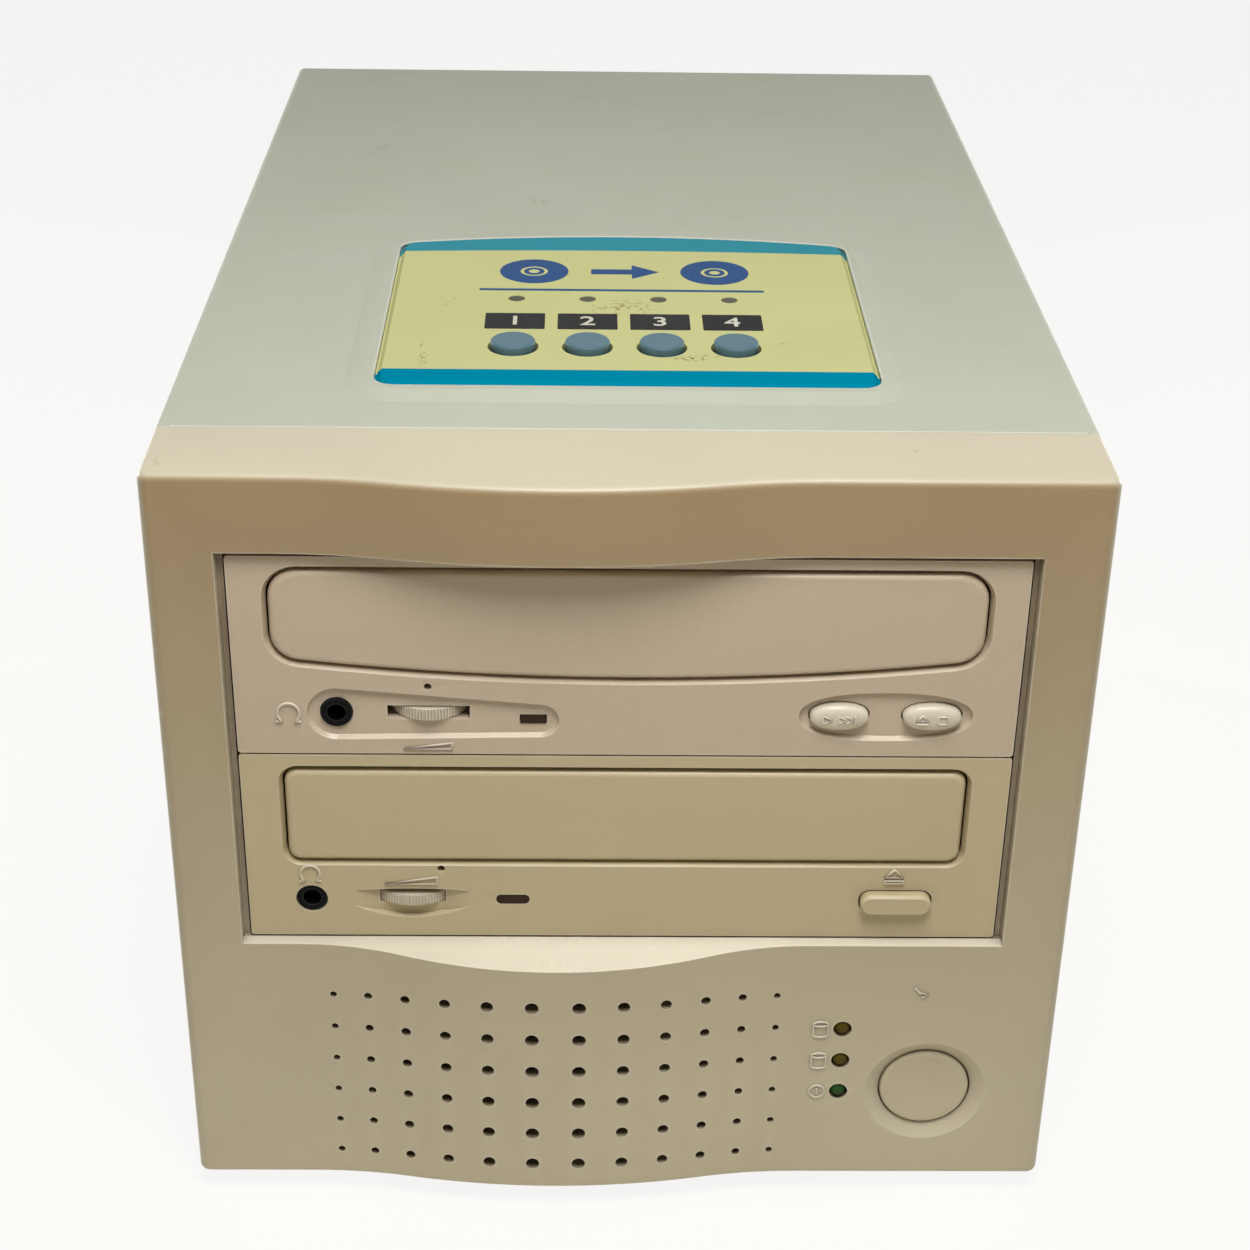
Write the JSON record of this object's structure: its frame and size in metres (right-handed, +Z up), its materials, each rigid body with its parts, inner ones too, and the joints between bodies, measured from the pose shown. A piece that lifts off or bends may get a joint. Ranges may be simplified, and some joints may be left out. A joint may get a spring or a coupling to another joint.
{
  "type": "disc duplicator tower",
  "caption": "Desktop disc duplicator: a steel case with a swelling moulded front, a reader drive over a writer drive with sliding trays, a keypad on top and a power button.",
  "frame": {"origin": "middle of the footprint at the underside of the feet, half way along the whole depth", "axes": "+X to the right seen from the front, +Y to the back, +Z up"},
  "size_m": [0.177, 0.2752, 0.1701],
  "materials": {
    "ivory_plastic": "finely textured ivory moulding",
    "writer_plastic": "satin ivory-beige moulding",
    "reader_plastic": "satin pinkish-grey moulding",
    "case_paint": "grey-beige textured paint",
    "zinc_steel": "bright zinc plating",
    "bright_steel": "bright plated wire and rod",
    "foot_rubber": "black rubber",
    "black_plastic": "black plastic",
    "circuit_board": "green solder mask",
    "amber_lens": "clear olive-amber lamp",
    "green_lens": "clear green lamp",
    "dark_lens": "dark unlit lamp",
    "printed_plate": "pale yellow print with blue bands",
    "blue_plastic": "grey-blue moulding",
    "grey_cable": "grey flat cable",
    "yellow_lead": "yellow wire bundle",
    "loader_plastic": "black moulding",
    "gear_plastic": "white acetal",
    "pale_plastic": "pale ivory moulding",
    "spindle_metal": "turned aluminium",
    "brass_pins": "plated brass"
  },
  "bodies": {
    "case": {"front_bezel": "ivory_plastic", "top_cover": "case_paint", "base_pan": "zinc_steel", "rear_panel": "case_paint", "bay_plates": "zinc_steel", "rubber_feet": "foot_rubber", "cover_screws": "zinc_steel", "drive_screws": "zinc_steel", "power_switch": "black_plastic", "front_board": "circuit_board", "disc_lamps": "amber_lens", "power_lamp": "green_lens", "control_panel": "printed_plate", "panel_lamps": "dark_lens", "control_board": "circuit_board", "board_parts": "black_plastic", "ribbon_cable": "grey_cable", "power_lead": "yellow_lead", "headphone_jacks": "black_plastic", "guide_rods": "bright_steel", "reader_face": "reader_plastic", "reader_case": "zinc_steel", "reader_lid": "zinc_steel", "reader_loader": "loader_plastic", "reader_board": "circuit_board", "reader_lamp": "dark_lens", "writer_face": "writer_plastic", "writer_case": "zinc_steel", "writer_lid": "zinc_steel", "writer_loader": "loader_plastic", "writer_board": "circuit_board", "writer_lamp": "dark_lens", "supply_case": "zinc_steel", "mains_inlet": "black_plastic", "inlet_pins": "brass_pins", "fan_frame": "black_plastic", "fan_guard": "bright_steel", "fan_screws": "zinc_steel"},
    "reader_drawer": {"reader_tray": "loader_plastic", "reader_door": "reader_plastic"},
    "writer_drawer": {"writer_tray": "loader_plastic", "writer_door": "writer_plastic"},
    "reader_gear": {"reader_gear": "gear_plastic"},
    "writer_gear": {"writer_gear": "gear_plastic"},
    "reader_wheel": {"reader_wheel": "pale_plastic"},
    "writer_wheel": {"writer_wheel": "pale_plastic"},
    "reader_spindle": {"reader_spindle": "spindle_metal"},
    "writer_spindle": {"writer_spindle": "spindle_metal"},
    "reader_sled": {"reader_sled": "loader_plastic"},
    "writer_sled": {"writer_sled": "loader_plastic"},
    "reader_play_button": {"reader_play_button": "pale_plastic"},
    "reader_eject_button": {"reader_eject_button": "pale_plastic"},
    "writer_eject_button": {"writer_eject_button": "pale_plastic"},
    "copy_button_1": {"copy_button_1": "blue_plastic"},
    "copy_button_2": {"copy_button_2": "blue_plastic"},
    "copy_button_3": {"copy_button_3": "blue_plastic"},
    "copy_button_4": {"copy_button_4": "blue_plastic"},
    "power_button": {"power_button": "ivory_plastic"},
    "fan_rotor": {"fan_rotor": "black_plastic"}
  },
  "joints": [
    {"name": "reader_tray_slide", "type": "slide", "parent": "case", "child": "reader_drawer", "axis": [0, -1, 0], "range_m": [0, 0.135]},
    {"name": "reader_gear_turn", "type": "hinge", "parent": "case", "child": "reader_gear", "pos_m": [-0.041, -0.109, 0.1282], "axis": [0, 0, 1], "range_deg": [0, 880]},
    {"name": "reader_sled_slide", "type": "slide", "parent": "case", "child": "reader_sled", "axis": [0, 1, 0], "range_m": [0, 0.034]},
    {"name": "reader_spindle_spin", "type": "hinge", "parent": "case", "child": "reader_spindle", "pos_m": [0, -0.0614, 0.1202], "axis": [0, 0, 1], "continuous": true},
    {"name": "reader_wheel_turn", "type": "hinge", "parent": "case", "child": "reader_wheel", "pos_m": [-0.0376, -0.1242, 0.1169], "axis": [0, 0, 1], "range_deg": [-135, 135]},
    {"name": "writer_tray_slide", "type": "slide", "parent": "case", "child": "writer_drawer", "axis": [0, -1, 0], "range_m": [0, 0.135]},
    {"name": "writer_gear_turn", "type": "hinge", "parent": "case", "child": "writer_gear", "pos_m": [-0.041, -0.109, 0.0858], "axis": [0, 0, 1], "range_deg": [0, 880]},
    {"name": "writer_sled_slide", "type": "slide", "parent": "case", "child": "writer_sled", "axis": [0, 1, 0], "range_m": [0, 0.034]},
    {"name": "writer_spindle_spin", "type": "hinge", "parent": "case", "child": "writer_spindle", "pos_m": [0, -0.0614, 0.0778], "axis": [0, 0, 1], "continuous": true},
    {"name": "writer_wheel_turn", "type": "hinge", "parent": "case", "child": "writer_wheel", "pos_m": [-0.0418, -0.12235, 0.0745], "axis": [0, 0, 1], "range_deg": [-135, 135]},
    {"name": "reader_play_press", "type": "slide", "parent": "case", "child": "reader_play_button", "axis": [0, 1, 0], "range_m": [0, 0.001], "stiffness_N_per_m": 400, "springref_m": -0.002},
    {"name": "reader_eject_press", "type": "slide", "parent": "case", "child": "reader_eject_button", "axis": [0, 1, 0], "range_m": [0, 0.001], "stiffness_N_per_m": 400, "springref_m": -0.002},
    {"name": "writer_eject_press", "type": "slide", "parent": "case", "child": "writer_eject_button", "axis": [0, 1, 0], "range_m": [0, 0.001], "stiffness_N_per_m": 400, "springref_m": -0.002},
    {"name": "copy_1_press", "type": "slide", "parent": "case", "child": "copy_button_1", "axis": [0, 0, -1], "range_m": [0, 0.001], "stiffness_N_per_m": 400, "springref_m": -0.002},
    {"name": "copy_2_press", "type": "slide", "parent": "case", "child": "copy_button_2", "axis": [0, 0, -1], "range_m": [0, 0.001], "stiffness_N_per_m": 400, "springref_m": -0.002},
    {"name": "copy_3_press", "type": "slide", "parent": "case", "child": "copy_button_3", "axis": [0, 0, -1], "range_m": [0, 0.001], "stiffness_N_per_m": 400, "springref_m": -0.002},
    {"name": "copy_4_press", "type": "slide", "parent": "case", "child": "copy_button_4", "axis": [0, 0, -1], "range_m": [0, 0.001], "stiffness_N_per_m": 400, "springref_m": -0.002},
    {"name": "power_press", "type": "slide", "parent": "case", "child": "power_button", "axis": [0, 1, 0], "range_m": [0, 0.0025], "stiffness_N_per_m": 400, "springref_m": -0.002},
    {"name": "fan_spin", "type": "hinge", "parent": "case", "child": "fan_rotor", "pos_m": [0, 0.121, 0.1072], "axis": [0, 1, 0], "continuous": true}
  ],
  "couplings": [
    {"joint": "reader_gear_turn", "follows": "reader_tray_slide", "rad_per_m": 111.11},
    {"joint": "writer_gear_turn", "follows": "writer_tray_slide", "rad_per_m": 111.11}
  ]
}
